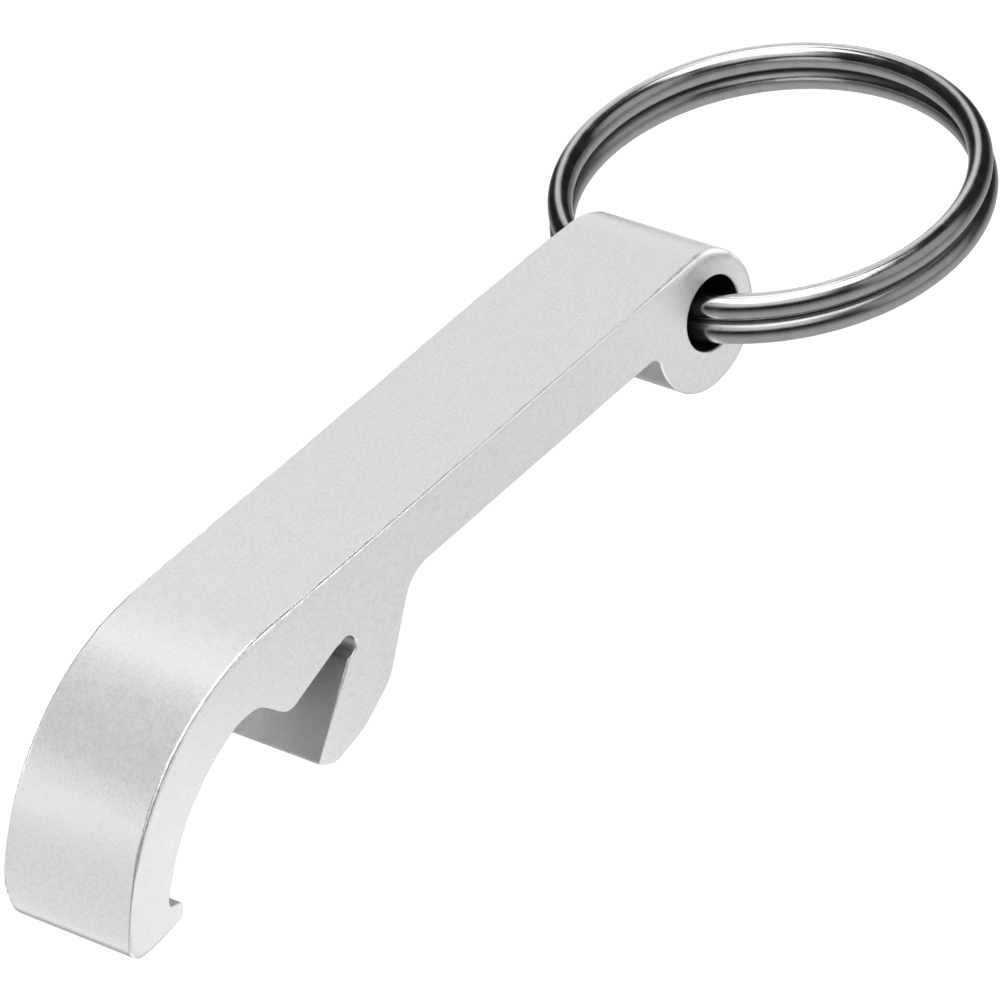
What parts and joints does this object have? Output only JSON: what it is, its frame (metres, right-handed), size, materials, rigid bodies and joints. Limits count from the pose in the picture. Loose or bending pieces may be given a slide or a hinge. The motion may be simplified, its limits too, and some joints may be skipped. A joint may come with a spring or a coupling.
{
  "type": "keychain bottle opener",
  "caption": "Hook-shaped lever cut from one extruded aluminium bar, with a cap lip, a lifting tooth and an eye, and a split ring that swings in the bore of the eye.",
  "frame": {"origin": "middle of the flat back of the lever, on its face", "axes": "+X along the lever from the hook to the ring, +Y across it along the bore, +Z out of the flat back, so the mouth and the tooth hang down at Z below 0"},
  "size_m": [0.0819, 0.0274, 0.013],
  "materials": {
    "satin_aluminium": "bead blasted, satin",
    "polished_nickel": "polished nickel plate on spring steel"
  },
  "bodies": {
    "lever": {"opener_body": "satin_aluminium"},
    "ring": {"split_ring": "polished_nickel"}
  },
  "joints": [
    {"name": "ring_swing", "type": "hinge", "parent": "lever", "child": "ring", "pos_m": [0.02065, 0, -0.0043], "axis": [0, -1, 0], "range_deg": [-174, 163]}
  ]
}
